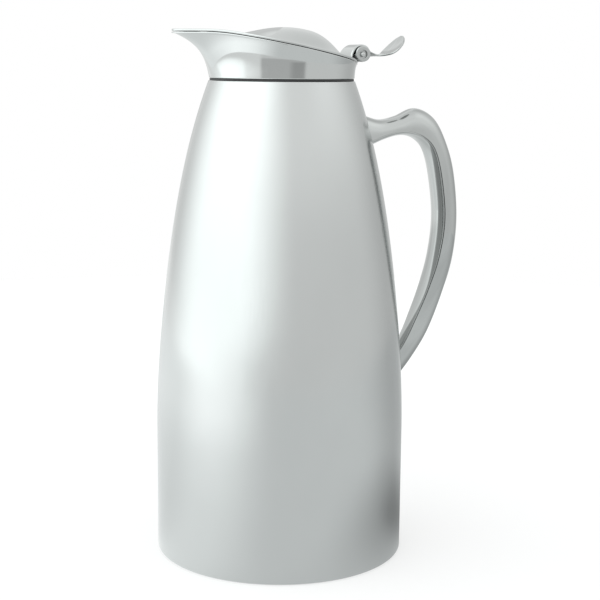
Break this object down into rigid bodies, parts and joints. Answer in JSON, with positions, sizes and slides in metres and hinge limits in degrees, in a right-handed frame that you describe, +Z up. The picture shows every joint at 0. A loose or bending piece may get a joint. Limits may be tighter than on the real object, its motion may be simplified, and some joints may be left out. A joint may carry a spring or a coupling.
{
  "type": "insulated beverage server",
  "caption": "Double-wall steel coffee server with a tapered body, pouring spout, hinged domed lid with a thumb lever, and a loop handle.",
  "frame": {"origin": "centre of the base on the body's axis, on the surface the server stands on", "axes": "+Z up along the body's axis, +X towards the handle, spout towards -X"},
  "size_m": [0.1768, 0.14, 0.2947],
  "materials": {
    "satin_steel": "fine satin, soft-polished stainless steel",
    "polished_steel": "mirror-polished stainless steel",
    "inner_steel": "drawn stainless steel, not polished",
    "black_rubber": "matte black rubber",
    "silicone": "translucent white silicone",
    "nylon": "black nylon",
    "foam": "rigid insulating foam"
  },
  "bodies": {
    "jug": {"outer_shell": "satin_steel", "base_cap": "satin_steel", "vacuum_bottom": "inner_steel", "vacuum_seal": "inner_steel", "getter": "inner_steel", "inner_flask": "inner_steel", "neck_ring": "inner_steel", "collar_gasket": "black_rubber", "spout_collar": "polished_steel", "lock_ring_seal": "silicone", "lock_ring": "inner_steel", "handle_shell": "polished_steel", "handle_strip": "polished_steel", "handle_upper_bracket": "inner_steel", "handle_lower_bracket": "inner_steel", "hinge_bracket": "polished_steel", "hinge_pin": "polished_steel", "hinge_washers": "nylon"},
    "lid": {"lid_cover": "polished_steel", "lid_insulation": "foam", "lid_pan": "inner_steel", "lid_seal": "silicone", "hinge_strap": "polished_steel", "hinge_barrel": "nylon", "thumb_lever": "polished_steel"}
  },
  "joints": [
    {"name": "lid_hinge", "type": "hinge", "parent": "jug", "child": "lid", "pos_m": [0.044, 0, 0.2804], "axis": [0, 1, 0], "range_deg": [0, 80]}
  ]
}
